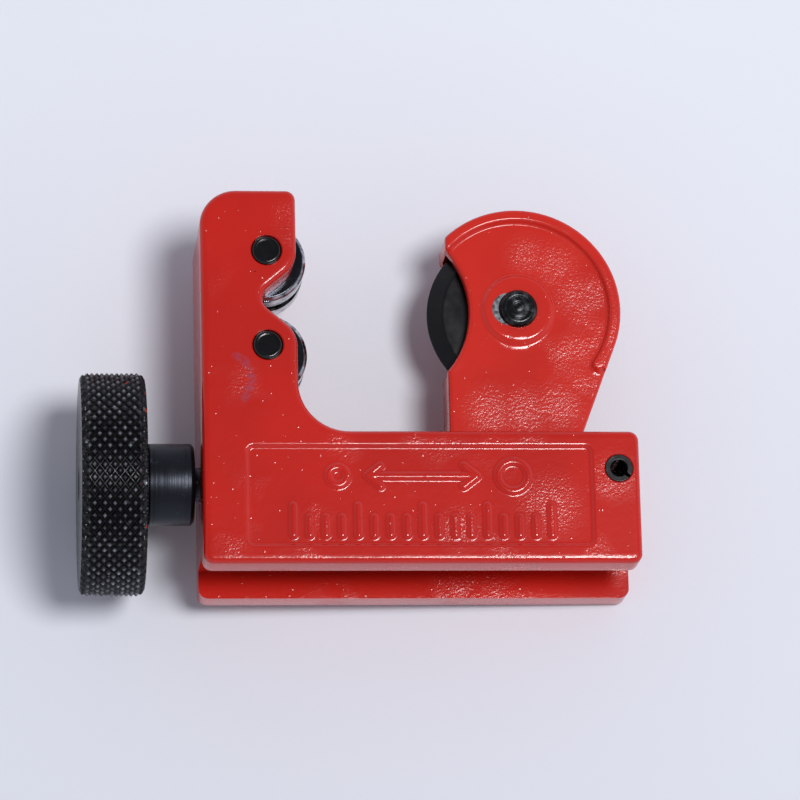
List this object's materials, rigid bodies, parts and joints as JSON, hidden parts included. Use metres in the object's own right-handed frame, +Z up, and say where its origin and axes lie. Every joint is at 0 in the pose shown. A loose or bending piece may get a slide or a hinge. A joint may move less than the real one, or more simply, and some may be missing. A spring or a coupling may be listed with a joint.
{
  "type": "tube cutter",
  "caption": "Small cutter for metal tube: L-shaped red body with guide rollers, and a carriage with a large cutter wheel, driven by a screw with a knurled knob.",
  "frame": {"origin": "centre of the lying tool's box, on the surface that it lies on", "axes": "+X along the feed screw towards the body's open end, tipped down with the tool's rest angle in the upright plane; +Y along the arm, from the base to the rollers; +Z up"},
  "size_m": [0.0808, 0.0568, 0.0323],
  "materials": {
    "red_enamel": "gloss enamel on rough die casting",
    "carriage_enamel": "gloss enamel on rough die casting",
    "black_knurl": "black oxide, satin",
    "black_oxide": "black oxide, satin",
    "screw_steel": "oiled steel",
    "polished_steel": "polished",
    "pin_black": "black oxide, gloss",
    "wheel_black": "black oxide, satin",
    "zinc_plate": "zinc plated"
  },
  "bodies": {
    "body": {"body_casting": "red_enamel", "upper_roller_pin": "pin_black", "lower_roller_pin": "pin_black", "stop_pin": "pin_black"},
    "screw": {"feed_screw": "screw_steel", "knurled_knob": "black_knurl", "spacer_sleeve": "black_oxide", "thrust_washer": "zinc_plate"},
    "carriage": {"carriage_casting": "carriage_enamel", "wheel_axle": "black_oxide", "axle_retaining_ring": "zinc_plate"},
    "wheel": {"cutter_wheel": "wheel_black", "wheel_spacers": "zinc_plate"},
    "upper_roller": {"upper_roller": "polished_steel"},
    "lower_roller": {"lower_roller": "polished_steel"}
  },
  "joints": [
    {"name": "knob_spin", "type": "hinge", "parent": "body", "child": "screw", "pos_m": [-0.02214, -0.01255, 0.0151], "axis": [0.9965, 0, -0.0838], "range_deg": [-1008, 7308]},
    {"name": "carriage_feed", "type": "slide", "parent": "body", "child": "carriage", "axis": [0.9965, 0, -0.0838], "range_m": [-0.0203, 0.0028]},
    {"name": "cutter_wheel_spin", "type": "hinge", "parent": "carriage", "child": "wheel", "pos_m": [0.0237, 0.01245, 0.01124], "axis": [0.0838, 0, 0.9965], "continuous": true},
    {"name": "upper_roller_spin", "type": "hinge", "parent": "body", "child": "upper_roller", "pos_m": [-0.01272, 0.01945, 0.01431], "axis": [0.0838, 0, 0.9965], "continuous": true},
    {"name": "lower_roller_spin", "type": "hinge", "parent": "body", "child": "lower_roller", "pos_m": [-0.01272, 0.00545, 0.01431], "axis": [0.0838, 0, 0.9965], "continuous": true}
  ],
  "couplings": [
    {"joint": "carriage_feed", "follows": "knob_spin", "m_per_rad": -0.00015915}
  ]
}
